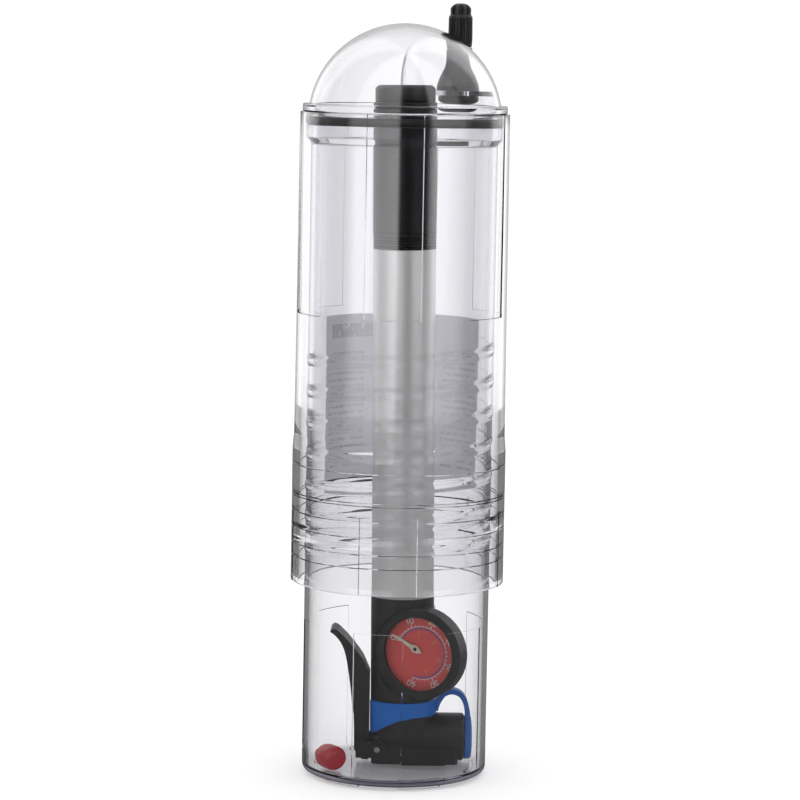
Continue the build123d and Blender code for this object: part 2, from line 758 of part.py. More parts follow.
# ==== dust cap with its strap and band ==============================================================
cap_face = nozzle_end + slip_gap
nozzle_top = nozzle_z + nozzle_r
strap_low = pump_x - band_top * pump_lean + neck_r + strap_thickness / 2 + fit_gap
with BuildPart() as dust_cap:
    # the band holds the neck of the chuck, and is deepest at the left
    with BuildSketch(pump_axis.offset(band_bottom)):
        add(sector(neck_r + 0.02, neck_r + band_thickness, -73, 170))
    extrude(amount=band_top - band_bottom)
    with BuildSketch(front_view.offset(-neck_r)):
        with BuildLine():
            Polyline(
                (-14, 18.0),
                (-9.1, 18.3),
                (-3.7, 22.0),
                (1.1, 24.6),
                (7.9, nozzle_top + slip_gap),
                (20, nozzle_top + slip_gap),
                (20, 10),
                (-14, 10),
                close=True,
            )
        make_face()
    extrude(amount=2 * neck_r + 5, mode=Mode.SUBTRACT)
    with BuildSketch(nozzle_axis.offset(cap_face)):
        Circle(9.6)
    extrude(amount=2.8)
    fillet(dust_cap.edges().filter_by(GeomType.CIRCLE).sort_by(Axis.X)[-1], 1.0)
    # the strap runs up from the cap, over in a loop and back to the band
    with BuildSketch(front_view.offset(-strap_width / 2)):
        with BuildLine():
            Spline(
                (cap_face + 1.3, nozzle_z + 8.0),
                (cap_face + 0.6, 29.2),
                (cap_face - 2.6, 34.6),
                (cap_face - 7.4, 35.2),
                (strap_low + 1.4, 31.8),
                (strap_low, nozzle_top + 1.4),
            )
        trace(line_width=strap_thickness)
    extrude(amount=strap_width)
    with BuildSketch(nozzle_axis.offset(cap_face - 5.5)):
        Circle(3.6)
    extrude(amount=6.0)
finish(dust_cap, "dust_cap")

# ==== loose pieces ==================================================================================
with BuildPart() as leaflet:
    leaflet_r = container_bore - slip_gap
    with BuildSketch(Plane.XY.offset(leaflet_bottom)):
        add(sector(leaflet_r - leaflet_thickness, leaflet_r, 88.0, leaflet_span))
    extrude(amount=leaflet_height)
finish(leaflet, "leaflet")

# a knob with rounded ends and a short spigot, lying along the container's wall
with BuildPart() as valve_adapter:
    adapter_axis = Plane(
        origin=(adapter_x, adapter_y, container_floor + adapter_r + 0.1),
        x_dir=(0, 0, 1),
        z_dir=(sin(radians(adapter_turn)), -cos(radians(adapter_turn)), 0),
    )
    with BuildSketch(adapter_axis.offset(-adapter_length / 2)):
        Circle(adapter_r)
    extrude(amount=adapter_length)
    fillet(valve_adapter.edges().filter_by(GeomType.CIRCLE), 3.4)
    with BuildSketch(adapter_axis.offset(adapter_length / 2 - 1)):
        Circle(adapter_r - 2.1)
    extrude(amount=4.0)
    with BuildSketch(adapter_axis.offset(-adapter_length / 2)):
        Circle(1.3)
    extrude(amount=adapter_length + 4.0, mode=Mode.SUBTRACT)
finish(valve_adapter, "valve_adapter")
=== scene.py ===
"""The clear ball can with the hand pump stored inside it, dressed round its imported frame."""
import json
from math import radians

import bmesh
import bpy
import numpy as np
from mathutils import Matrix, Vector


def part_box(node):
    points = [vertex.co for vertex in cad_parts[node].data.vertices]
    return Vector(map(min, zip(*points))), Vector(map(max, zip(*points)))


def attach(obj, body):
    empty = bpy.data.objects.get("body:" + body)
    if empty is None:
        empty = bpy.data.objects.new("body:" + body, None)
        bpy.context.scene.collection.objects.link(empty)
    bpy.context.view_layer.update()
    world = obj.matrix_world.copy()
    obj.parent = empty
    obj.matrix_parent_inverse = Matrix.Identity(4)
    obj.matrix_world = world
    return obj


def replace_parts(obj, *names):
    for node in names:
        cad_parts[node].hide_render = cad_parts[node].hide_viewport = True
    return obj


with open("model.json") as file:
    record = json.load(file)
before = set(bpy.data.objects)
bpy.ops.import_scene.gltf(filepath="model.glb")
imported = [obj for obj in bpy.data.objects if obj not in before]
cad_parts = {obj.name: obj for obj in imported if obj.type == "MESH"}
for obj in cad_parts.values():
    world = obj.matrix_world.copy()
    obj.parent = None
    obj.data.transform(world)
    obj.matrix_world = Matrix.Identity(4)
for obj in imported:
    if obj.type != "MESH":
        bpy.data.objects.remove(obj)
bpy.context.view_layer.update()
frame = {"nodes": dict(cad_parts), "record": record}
scene = bpy.context.scene
MM = 0.001
UP = np.array([0.0, 0.0, 1.0])
JOINTS = {joint["name"]: joint for joint in frame["record"]["behaviour"]["joints"]}


# ---- shader kit ------------------------------------------------------------------------------------
class Socket:
    """A value in a shader; Python operators on it add Math nodes."""

    def __init__(self, shader, output):
        self.shader = shader
        self.output = output

    def math(self, operation, *others):
        return self.shader.node("ShaderNodeMath", {"operation": operation}, [self, *others])

    def __add__(self, other):
        return self.math("ADD", other)

    __radd__ = __add__

    def __mul__(self, other):
        return self.math("MULTIPLY", other)

    __rmul__ = __mul__

    def __sub__(self, other):
        return self.math("SUBTRACT", other)

    def __rsub__(self, other):
        return self.shader.node("ShaderNodeMath", {"operation": "SUBTRACT"}, [other, self])

    def __truediv__(self, other):
        return self.math("DIVIDE", other)

    def __pow__(self, other):
        return self.math("POWER", other)

    def clamp(self, low=0.0, high=1.0):
        return self.math("MAXIMUM", low).math("MINIMUM", high)

    def between(self, low, high):
        """1 where the value is between two others, 0 elsewhere."""
        return self.math("GREATER_THAN", low) * self.math("LESS_THAN", high)

    def fract(self):
        return self.math("FRACT")


class Shader:
    """One material's node tree."""

    def __init__(self, name, owner=None):
        self.material = owner or bpy.data.materials.new(name)
        self.material.use_nodes = True
        self.tree = self.material.node_tree
        self.tree.nodes.clear()

    def node(self, kind, settings=None, inputs=(), output=0):
        """Add a node: its settings first, then its inputs by place or by name, as values or links."""
        made = self.tree.nodes.new(kind)
        for key, value in (settings or {}).items():
            if key == "stops":
                stops = made.color_ramp.elements
                stops[0].position = value[0][0]
                stops[1].position = value[-1][0]
                for place, _ in value[1:-1]:
                    stops.new(place)
                for stop, (_, colour) in zip(stops, value):
                    stop.color = colour if len(colour) == 4 else (*colour, 1.0)
            else:
                setattr(made, key, value)
        pairs = inputs.items() if isinstance(inputs, dict) else enumerate(inputs)
        for key, value in pairs:
            if value is None:
                continue
            if isinstance(value, Socket):
                self.tree.links.new(value.output, made.inputs[key])
            else:
                made.inputs[key].default_value = value
        return Socket(self, made.outputs[output])

    def place(self, scale=(1, 1, 1)):
        """Object coordinates, scaled."""
        coords = self.node("ShaderNodeTexCoord", output=3)
        return self.node("ShaderNodeMapping", inputs={"Vector": coords, "Scale": scale})

    def noise(self, scale, detail=3.0, rough=0.55, vector=None):
        return self.node("ShaderNodeTexNoise", inputs={"Vector": vector or self.place(), "Scale": scale,
                                                       "Detail": detail, "Roughness": rough})

    def ramp(self, value, *stops):
        return self.node("ShaderNodeValToRGB", {"stops": stops}, [value])

    def mix(self, factor, first, second):
        """Mix two colours."""
        return self.node("ShaderNodeMix", {"data_type": "RGBA"}, {0: factor, 6: first, 7: second}, output=2)

    def mirrored(self):
        """1 for rays that have been mirrored at least once, else 0. Only for the studio, not for the part."""
        paths = self.node("ShaderNodeLightPath")
        return Socket(self, paths.output.node.outputs["Glossy Depth"]).clamp()

    def bump(self, height, strength=0.3, distance=0.0002):
        return self.node("ShaderNodeBump", inputs={"Strength": strength, "Distance": distance, "Height": height})

    def principled(self, **inputs):
        return self.node("ShaderNodeBsdfPrincipled", inputs={k.replace("_", " "): v for k, v in inputs.items()})

    def finish(self, surface, volume=None):
        self.node_out = self.tree.nodes.new("ShaderNodeOutputMaterial")
        self.tree.links.new(surface.output, self.node_out.inputs["Surface"])
        if volume:
            self.tree.links.new(volume.output, self.node_out.inputs["Volume"])
        return self.material


def rgb(r, g, b):
    return (r, g, b, 1.0)


def clear_plastic(name, density):
    """Polished clear plastic: refracts, mirrors a little, and tints through its thickness."""
    s = Shader(name)
    haze = s.noise(18.0, 4.0)
    rough = s.ramp(haze, (0.35, (0.008,) * 3), (0.75, (0.02,) * 3))
    wave = s.noise(45.0, 2.0)
    body = s.principled(
        Base_Color=rgb(0.985, 0.984, 0.992), Roughness=rough, IOR=1.46, Transmission_Weight=1.0,
        Normal=s.bump(wave, 0.02, 0.0001),
    )
    lamp = s.node("ShaderNodeBsdfTransparent", inputs={"Color": rgb(0.97, 0.97, 0.98)})
    rays = s.node("ShaderNodeLightPath", output=1)
    surface = s.node("ShaderNodeMixShader", inputs=[rays, body, lamp])
    volume = s.node("ShaderNodeVolumeAbsorption", inputs={"Color": rgb(0.55, 0.53, 0.60), "Density": density})
    return s.finish(surface, volume)


def plain(name, colour, rough, **more):
    """Moulded plastic or rubber: soft changes of tone and of shine."""
    s = Shader(name)
    tone = s.noise(40.0, 3.0)
    low = rgb(*[c * 0.85 for c in colour])
    high = rgb(*[min(1.0, c * 1.15) for c in colour])
    gloss = rough + (s.noise(60.0, 4.0) - 0.5) * 0.16
    return s.finish(s.principled(Base_Color=s.mix(tone, low, high), Roughness=gloss, **more))


def metal(name, colour, rough, scale=(60, 60, 2500), whole=1.0):
    """Drawn or turned metal: fine lines, with the shine changing along them. A whole of 1 is bare metal."""
    s = Shader(name)
    lines = s.noise(1.0, 4.0, vector=s.place(scale))
    gloss = rough + (lines - 0.5) * 0.15
    tint = s.mix(lines, rgb(*[c * 0.9 for c in colour]), rgb(*colour))
    return s.finish(s.principled(Base_Color=tint, Roughness=gloss, Metallic=whole,
                                 Normal=s.bump(lines, 0.06, 0.00003)))


def printed_paper():
    """Thin paper with rows of grey print, a darker block and a faint margin, laid out on its own flat map."""
    s = Shader("paper")
    across = s.node("ShaderNodeSeparateXYZ", inputs=[s.node("ShaderNodeTexCoord", output=2)])
    u = across
    v = Socket(s, across.output.node.outputs[1])
    fibre = s.noise(900.0, 3.0)
    words = s.noise(1.0, 2.0, vector=s.node("ShaderNodeMapping", inputs={
        "Vector": s.node("ShaderNodeTexCoord", output=2), "Scale": (70.0, 26.0, 1.0)}))
    lines = (v * 26.0).fract().between(0.25, 0.7) * words.math("GREATER_THAN", 0.44)
    columns = u.between(0.04, 0.30) + u.between(0.36, 0.62) + u.between(0.70, 0.95)
    text = lines * columns * v.between(0.08, 0.78)
    title = v.between(0.84, 0.92) * u.between(0.08, 0.52) * words.math("GREATER_THAN", 0.40)
    block = v.between(0.30, 0.52) * u.between(0.36, 0.62)
    ink = (text * 0.42 + title * 0.6 + block * 0.22).clamp()
    base = s.mix(fibre, rgb(0.74, 0.73, 0.80), rgb(0.82, 0.81, 0.87))
    return s.finish(s.principled(
        Base_Color=s.mix(ink, base, rgb(0.20, 0.20, 0.27)), Roughness=0.75 + (fibre - 0.5) * 0.1, Alpha=0.55,
        Normal=s.bump(fibre, 0.1, 0.00003)))


clear = clear_plastic("clear_plastic", 46.0)
lens_clear = clear_plastic("clear_lens", 4.0)
black_plastic = plain("black_plastic", (0.009, 0.009, 0.0095), 0.38, Specular_IOR_Level=0.32)
black_rubber = plain("black_rubber", (0.010, 0.010, 0.0105), 0.42, Specular_IOR_Level=0.4)
satin = metal("satin_aluminium", (0.90, 0.90, 0.86), 0.42, (40, 40, 1800), 0.6)
bright = metal("bright_ring", (0.9, 0.9, 0.9), 0.12)
brass = metal("brass", (0.72, 0.55, 0.28), 0.25)
steel = metal("spring_steel", (0.6, 0.6, 0.62), 0.25)
red_dial = plain("dial_red", (0.90, 0.08, 0.065), 0.5)
cream = plain("needle_cream", (0.78, 0.74, 0.60), 0.45)
white_ink = plain("dial_white", (0.90, 0.78, 0.74), 0.5)
violet_ink = plain("dial_violet", (0.16, 0.08, 0.30), 0.5)
yellow_ink = plain("dial_yellow", (0.75, 0.33, 0.06), 0.5)
blue = plain("blue_plastic", (0.0, 0.105, 0.42), 0.38, Specular_IOR_Level=0.25)
red = plain("red_plastic", (0.42, 0.006, 0.018), 0.25, Subsurface_Weight=0.25, Subsurface_Scale=0.003)
paper = printed_paper()

LOOKS = {
    "clear_plastic": clear, "black_rubber": black_rubber, "black_plastic": black_plastic, "satin_aluminium": satin,
    "bright_ring": bright, "brass": brass, "spring_steel": steel, "dial_red": red_dial, "needle_cream": cream,
    "clear_lens": lens_clear, "blue_plastic": blue, "red_plastic": red, "paper": paper,
}
SLOTS = {row["node"]: row["material_slot"] for row in frame["record"]["subparts"]}
BODIES = {node: body for body, nodes in frame["record"]["behaviour"]["bodies"].items() for node in nodes}
for row in frame["record"]["subparts"]:
    node = frame["nodes"][row["node"]]
    node.data.materials.clear()
    node.data.materials.append(LOOKS[row["material_slot"]])


# ---- surfaces --------------------------------------------------------------------------------------
def box_of(node):
    """(middle, half size) of a CAD node, in metres."""
    low, high = (np.array(corner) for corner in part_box(node))
    return (low + high) / 2, (high - low) / 2


def surface(name, grids, node, material=None, sharp=38.0, rows_meet=False, flat_map=False):
    """One piece made of closed surfaces, each from a grid of points whose columns go round and meet.

    Rows whose points fall together become poles. The piece stands for the node's body and slot.
    """
    grids = grids if isinstance(grids, list) else [grids]
    points, faces, count = [], [], 0
    for grid in grids:
        rows, columns = grid.shape[:2]
        index = count + np.arange(rows * columns).reshape(rows, columns)
        index = np.column_stack([index, index[:, :1]])
        if rows_meet:
            index = np.vstack([index, index[:1]])
        faces.append(np.stack([index[:-1, :-1], index[:-1, 1:], index[1:, 1:], index[1:, :-1]], axis=-1).reshape(-1, 4))
        points.append(grid.reshape(-1, 3))
        count += rows * columns
    mesh = bpy.data.meshes.new(name)
    mesh.from_pydata(np.vstack(points).tolist(), [], np.vstack(faces).tolist())
    if flat_map:
        layer = mesh.uv_layers.new(name="flat")
        half = columns // 2
        across = np.tile(np.r_[np.linspace(0, 1, half), np.linspace(1, 0, columns - half)], rows)
        along = np.repeat(np.linspace(0, 1, rows), columns)
        corners = np.array([loop.vertex_index for loop in mesh.loops])
        layer.data.foreach_set("uv", np.column_stack([across[corners], along[corners]]).ravel())
    edit = bmesh.new()
    edit.from_mesh(mesh)
    bmesh.ops.remove_doubles(edit, verts=edit.verts, dist=1e-7)
    bmesh.ops.recalc_face_normals(edit, faces=edit.faces)
    edit.to_mesh(mesh)
    edit.free()
    mesh.shade_smooth()
    mesh.set_sharp_from_angle(angle=radians(sharp))
    mesh.materials.append(material or LOOKS[SLOTS[node]])
    made = bpy.data.objects.new(name, mesh)
    scene.collection.objects.link(made)
    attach(made, BODIES[node])
    return made


def soft_path(*corners, steps=5, closed=False):
    """A path through corners (a, b, radius), in mm. A corner with a radius becomes a quadratic curve

    p(t) = (1 - t)^2 * start + 2 t (1 - t) * corner + t^2 * end, between points that far along its two sides.
    """
    path = []
    for number, (a, b, *radius) in enumerate(corners):
        here = np.array([a, b], float)
        if not radius or (not closed and number in (0, len(corners) - 1)):
            path.append(here)
            continue
        before = np.array(corners[number - 1][:2], float) - here
        after = np.array(corners[(number + 1) % len(corners)][:2], float) - here
        start = here + before / np.linalg.norm(before) * min(radius[0], np.linalg.norm(before) * 0.49)
        end = here + after / np.linalg.norm(after) * min(radius[0], np.linalg.norm(after) * 0.49)
        t = np.linspace(0, 1, steps + 1)[:, None]
        path.extend((1 - t) ** 2 * start + 2 * t * (1 - t) * here + t**2 * end)
    return np.array(path)


def spread(path, step):
    """The path with points added so that no run is longer than the step, in mm."""
    out = [path[:1]]
    for start, end in zip(path[:-1], path[1:]):
        count = max(1, int(np.ceil(np.linalg.norm(end - start) / step)))
        out.append(start + (end - start) * np.linspace(0, 1, count + 1)[1:, None])
    return np.vstack(out)


def turned(path, foot, axis=UP, side=None, columns=96, ripple=None):
    """A turned form about an axis from a foot point.

    p(s, a) = foot + z(s) * axis + r(s, a) * (cos a * side + sin a * other).
    """
    axis = np.array(axis, float) / np.linalg.norm(axis)
    side = np.array(side if side is not None else (1, 0, 0), float)
    side = side - axis * (side @ axis)
    side = side / np.linalg.norm(side)
    other = np.cross(axis, side)
    angle = np.linspace(0, 2 * np.pi, columns + 1)[:-1] if np.isscalar(columns) else columns
    radius = path[:, :1] * np.ones(angle.size)
    if ripple:
        radius = ripple(radius, path[:, 1:], angle[None, :])
    ring = np.cos(angle)[:, None] * side + np.sin(angle)[:, None] * other
    return np.array(foot) + (path[:, 1] * MM)[:, None, None] * axis + (radius * MM)[:, :, None] * ring[None]


def plate(outline, low, high, foot, across, up, out, edge=0.1):
    """A flat star-shaped plate with softened edges: rows of the outline, scaled towards its middle."""
    outline = np.array(outline, float)
    reach = np.linalg.norm(outline, axis=1, keepdims=True)
    inset = outline * (1 - np.minimum(edge / reach, 0.9))
    middle = outline * 0
    rows = [(middle, low), (inset, low), (outline, low + edge), (outline, high - edge), (inset, high), (middle, high)]
    grid = [foot + MM * (flat[:, :1] * across + flat[:, 1:] * up + level * out) for flat, level in rows]
    return np.array(grid)


def ribbon(path, width, low, high, place):
    """A flat bar along a path of (a, b) points: its section is width by height, and its ends are closed."""
    ahead = np.gradient(path, axis=0)
    ahead = ahead / np.linalg.norm(ahead, axis=1, keepdims=True)
    beside = np.column_stack([-ahead[:, 1], ahead[:, 0]]) * width / 2
    rows = np.stack([
        np.column_stack([path - beside, np.full(len(path), low)]),
        np.column_stack([path + beside, np.full(len(path), low)]),
        np.column_stack([path + beside, np.full(len(path), high)]),
        np.column_stack([path - beside, np.full(len(path), high)]),
    ], axis=1)
    first = np.broadcast_to(rows[:1].mean(axis=1, keepdims=True), (1, 4, 3))
    last = np.broadcast_to(rows[-1:].mean(axis=1, keepdims=True), (1, 4, 3))
    return place(np.concatenate([first, rows, last]))


# ---- clear shells ----------------------------------------------------------------------------------
PITCH = 13.2
THREAD = 0.4
PANEL_DEPTH = 0.4
CONTAINER_PANELS = -11.0
SLEEVE_PANELS = -5.0


def helix(angle, height, start, turns, root):
    """How much of a thread's ridge is at a place, from 0 to 1.

    t is the turn whose centre line z = start + pitch * t is nearest, and the ridge is where |z - that line| < root / 2.
    """
    around = angle / (2 * np.pi)
    turn = np.round((height - start) / PITCH - around) + around
    away = np.abs(height - start - PITCH * turn)
    flank = np.clip((root / 2 + 0.25 - away) / 2.2, 0, 1)
    ends = np.clip(turn / 0.02, 0, 1) * np.clip((turns - turn) / 0.02, 0, 1)
    return flank**2 * (3 - 2 * flank) * ends


def panels(angle, height, centre, low, high):
    """1 inside the six long panels between two heights, 0 elsewhere, with edges a fifth of a millimetre wide."""
    away = np.abs((np.degrees(angle) + 90 - centre + 30) % 60 - 30)
    side = np.clip((15.5 + 0.15 - away) / 0.3, 0, 1)
    return side * np.clip((height - low) / 0.2 + 0.5, 0, 1) * np.clip((high - height) / 0.2 + 0.5, 0, 1)


def turning(centre):
    """Angles round a shell in radians: even steps, with closer ones at the panels' edges."""
    edges = np.array([k * 60 + side * 15.5 + step for k in range(6) for side in (-1, 1) for step in (-0.16, 0.16)])
    even = np.arange(0, 360, 2.0)
    near = np.abs((even[:, None] - edges[None, :] - centre + 90 + 180) % 360 - 180).min(axis=1)
    return np.radians(np.sort(np.r_[even[near > 0.3], (edges + centre - 90) % 360]))


def make_container():
    """The container: a turned wall with a round-edged base, a thread ridge, long panels and a grooved mouth rim."""
    top = (box_of("container")[0] + box_of("container")[1])[2] / MM
    ring = box_of("mouth_oring")[0][2] / MM
    wall, bore = 39.2, 37.2
    rows = np.vstack([
        spread(soft_path((0, 1.4), (wall, 1.4, 3.0), (wall, 60.0), steps=8), 6.0),
        spread(np.array([[wall, 65.9], [wall, 66.1], [wall, 84.0]]), 6.0),
        np.column_stack([np.full(340, wall), np.linspace(86.0, 190.0, 340)]),
        spread(soft_path((wall, 194.0), (wall, top - 12.5, 0.6), (41.4, top - 10.1, 0.4), (41.4, ring - 1.75, 0.2),
                         (38.5, ring - 1.75, 0.1), (38.5, ring + 1.75, 0.1), (41.4, ring + 1.75, 0.2), (41.4, top, 0.5),
                         (bore, top, 0.5), (bore, 4.4, 0.6), (0, 4.4)), 8.0),
    ])

    def form(radius, height, angle):
        outer = radius > 38.9
        plain_wall = outer & (np.abs(radius - wall) < 0.01)
        ridge = THREAD * helix(angle, height, 91.0, 7.2, 5.0)
        cut = PANEL_DEPTH * panels(angle, height, CONTAINER_PANELS, 6.0, 66.0)
        return radius + np.where(plain_wall, ridge - cut, 0.0)

    angle = turning(CONTAINER_PANELS)
    grids = [turned(rows, (0, 0, 0), columns=angle, ripple=form)]
    for number in range(6):
        middle = -90 + CONTAINER_PANELS + 30 + 60 * number
        sweep = np.radians(np.linspace(middle - 15.5, middle + 15.5, 24))
        section = np.array([[32.9, 1.39], [34.5, 1.39], [34.4, 0.0], [33.0, 0.0]])
        flat = section[None, :, :1] * np.stack([np.cos(sweep), np.sin(sweep)], axis=-1)[:, None]
        bar = np.concatenate([flat, np.broadcast_to(section[None, :, 1:], (24, 4, 1))], axis=-1) * MM
        ends = [np.broadcast_to(bar[at].mean(axis=0), (1, 4, 3)) for at in (0, -1)]
        grids.append(np.concatenate([ends[0], bar, ends[1]]))
    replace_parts(surface("container_shell", grids, "container", sharp=32), "container")


def groove(height, depth):
    """Three corners of a fine ring groove in the sleeve's collar."""
    return (45.15, height - 0.25), (45.15 - depth, height), (45.15, height + 0.25)


def make_sleeve():
    """The sleeve: a turned wall with a stepped collar, long panels, and a short thread ridge inside."""
    top = (box_of("sleeve")[0] + box_of("sleeve")[1])[2] / MM
    bore = 42.0
    rows = np.vstack([
        spread(soft_path((bore, 91.0), (bore, 83.0, 0.4), (45.2, 83.0, 0.9), *groove(94.4, 0.35), *groove(100.1, 0.35),
                         *groove(107.1, 0.35), *groove(113.7, 0.35), (45.15, 115.4)), 4.0),
        spread(soft_path((45.15, 115.6), *groove(120.3, 0.5), *groove(121.5, 0.5), *groove(133.6, 0.3),
                         (45.1, 140.0, 0.3), (44.6, 146.0, 0.5), (44.3, 196.9)), 6.0),
        spread(soft_path((44.3, 197.1), (44.0, top, 0.3), (bore, top, 0.3), (bore, 122.0)), 6.0),
        np.column_stack([np.full(110, bore), np.linspace(121.5, 92.0, 110)]),
    ])

    def form(radius, height, angle):
        inner = radius < 42.01
        ridge = THREAD * helix(angle, height, 97.6, 1.45, 7.2)
        upper = panels(angle, height, SLEEVE_PANELS, 197.0, 400.0) * (radius - 43.6)
        lower = panels(angle, height, SLEEVE_PANELS, 0.0, 115.5) * PANEL_DEPTH
        return radius - np.where(inner, ridge, np.where(radius > 43.2, upper + lower, 0.0))

    grid = turned(rows, (0, 0, 0), columns=turning(SLEEVE_PANELS), ripple=form)
    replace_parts(surface("sleeve_shell", grid, "sleeve", sharp=32, rows_meet=True), "sleeve")


# ---- seals and loose things ------------------------------------------------------------------------
def make_oring():
    """An O-ring pressed flat on its outer side: a torus whose section is cut off at the sleeve's bore."""
    middle, half = box_of("mouth_oring")
    section = half[2] / MM
    around = np.linspace(0, 2 * np.pi, 33)[:-1]
    bore = half[0] / MM
    radius = np.minimum(bore - section + 1.06 * section * np.cos(around), bore + 0.02)
    path = np.column_stack([radius, 1.02 * section * np.sin(around)])
    ring = surface("mouth_oring_round", turned(path, middle, columns=180), "mouth_oring", sharp=60, rows_meet=True)
    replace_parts(ring, "mouth_oring")


def make_leaflet():
    """A thin sheet bowed against the wall, its ends easing inwards.

    p(u, v) = (r cos a, r sin a, z), with r = 36.75 - 1.5 |2u - 1|^6 - 0.25 (1 + sin(9u + 3v)) and a even in u.
    """
    middle, half = box_of("leaflet")
    span = radians(143.7)
    u = np.linspace(0, 1, 90)
    v = np.linspace(0, 1, 40)
    angle = radians(88.0) + (0.5 - u) * span
    bow = 36.75 - 1.5 * np.abs(2 * u - 1) ** 6 - 0.25 * (1 + np.sin(9 * u[None, :] + 3 * v[:, None]))
    ring = np.stack([np.cos(angle), np.sin(angle)], axis=-1)
    front = bow[:, :, None] * ring
    back = ((bow - 0.14)[:, :, None] * ring)[:, ::-1]
    flat = np.concatenate([front, back], axis=1) * MM
    height = np.broadcast_to((middle[2] + (2 * v - 1) * half[2])[:, None, None], (*flat.shape[:2], 1))
    rows = np.concatenate([flat, height], axis=-1)
    centre = (rows + rows[:, ::-1]) / 2
    grid = np.concatenate([centre[:1], rows, centre[-1:]])
    sheet = surface("leaflet_sheet", grid, "leaflet", flat_map=True)
    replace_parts(sheet, "leaflet")


def make_adapter():
    """A knob with rounded ends and a spigot, turned about an axis that lies along the container's wall."""
    turn = radians(214.4)
    foot = np.array([31.4 * np.cos(turn), 31.4 * np.sin(turn), 9.7]) * MM
    path = soft_path((0, -5.0), (5.2, -5.0, 3.6), (5.2, 5.0, 3.6), (3.1, 5.0, 0.3), (3.1, 8.0, 0.5), (1.3, 8.0, 0.2),
                     (1.3, 6.0, 0.2), (0, 6.0), steps=8)
    knob = surface("valve_adapter_knob", turned(path, foot, (np.sin(turn), -np.cos(turn), 0), UP, 72), "valve_adapter")
    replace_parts(knob, "valve_adapter")


# ---- tyre valve ------------------------------------------------------------------------------------
def make_valve():
    """The rubber body, a bottle-shaped turned form with a groove for the dome's floor, and the fluted cap."""
    middle, half = box_of("valve_rubber_body")
    foot = middle - half * UP
    top = 2 * half[2] / MM
    floor = top - 18.0
    path = soft_path(
        (0, 0), (6.8, 0, 2.0), (9.0, 1.9, 1.2), (8.6, floor - 2.05, 0.4), (5.6, floor - 2.05, 0.1),
        (5.6, floor + 0.02, 0.1),
        (9.15, floor + 0.02, 0.4), (9.0, floor + 2.4, 1.6), (7.5, floor + 6.6, 3.0), (5.3, floor + 10.6, 3.0),
        (5.15, top, 0.3), (0, top), steps=9)
    body = surface("valve_rubber_bell", turned(spread(path, 1.5), foot, columns=96), "valve_rubber_body", sharp=50)
    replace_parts(body, "valve_rubber_body")

    middle, half = box_of("valve_cap")
    foot = middle - half * UP
    top = 2 * half[2] / MM
    path = spread(soft_path(
        (0, 0), (4.9, 0, 0.4), (5.15, 3.0, 1.5), (5.05, top - 5.6, 0.5), (4.45, top - 4.9, 0.2), (4.5, top - 1.9, 0.7),
        (3.0, top - 0.5, 1.0), (1.6, top, 0.8), (0, top), steps=5), 0.45)

    def flutes(radius, height, angle):
        """Twenty-four fine flutes along the body, and eight wider slots round the key at the top."""
        body = np.clip((height - 1.0) / 0.8, 0, 1) * np.clip((top - 6.2 - height) / 0.5, 0, 1)
        key = np.clip((height - top + 4.7) / 0.3, 0, 1) * np.clip((top - 0.9 - height) / 0.5, 0, 1)
        fine = np.clip(0.5 + 1.4 * np.cos(24 * angle), 0, 1)
        wide = np.clip(0.2 + 2.5 * np.cos(8 * angle), 0, 1)
        return radius - 0.42 * body * fine - 0.75 * key * wide

    cap = surface("valve_cap_fluted", turned(path, foot, columns=288, ripple=flutes), "valve_cap", sharp=40)
    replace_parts(cap, "valve_cap")


# ---- pump ------------------------------------------------------------------------------------------
LEAN = np.array(JOINTS["handle_pull"]["axis"], float)


def make_pump():
    """The handle with its ribbed lower end, its bevelled end cap and the satin barrel."""
    middle, half = box_of("grip")
    radius = half[1] / MM
    length = 2 * half[2] / MM
    foot = middle - LEAN * half[2]
    path = spread(soft_path((0, 0), (radius, 0, 0.4), (radius, length, 0.9), (0, length), steps=6), 0.25)

    def ribs(form, height, angle):
        """Fine rings round the lowest five millimetres, and a shallow groove above them."""
        band = np.clip((height - 0.5) / 0.2, 0, 1) * np.clip((5.4 - height) / 0.2, 0, 1)
        rings = 0.5 - 0.5 * np.cos(2 * np.pi * (height - 0.5) / 1.2)
        groove = np.exp(-(((height - 6.6) / 0.35) ** 2))
        outside = form > radius - 0.5
        return form - np.where(outside, 0.45 * band * rings + 0.3 * groove, 0) + 0 * angle

    grip = surface("grip_ribbed", turned(path, foot, LEAN, columns=120, ripple=ribs), "grip", sharp=45)
    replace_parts(grip, "grip")

    middle, half = box_of("grip_end_cap")
    radius = half[1] / MM
    length = 2 * half[2] / MM
    path = soft_path((0, 0), (radius - 0.5, 0, 0.2), (radius, 0.8, 0.3), (radius, length - 1.3, 0.5),
                     (radius - 1.5, length, 0.5),
                     (radius - 3.2, length, 0.3), (radius - 3.6, length - 0.5, 0.3), (0, length - 0.5), steps=6)
    form = turned(path, middle - LEAN * half[2], LEAN, columns=120)
    end = surface("grip_end_cap_round", form, "grip_end_cap", sharp=45)
    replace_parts(end, "grip_end_cap")

    middle, half = box_of("pump_barrel")
    radius = half[1] / MM
    length = 2 * half[2] / MM
    path = soft_path((radius - 1.0, 0, 0.1), (radius, 0, 0.25), (radius, length, 0.4), (radius - 1.0, length, 0.3),
                     closed=True)
    barrel = surface("pump_barrel_tube", turned(path, middle - LEAN * half[2], LEAN, columns=160), "pump_barrel",
                     sharp=50, rows_meet=True)
    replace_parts(barrel, "pump_barrel")


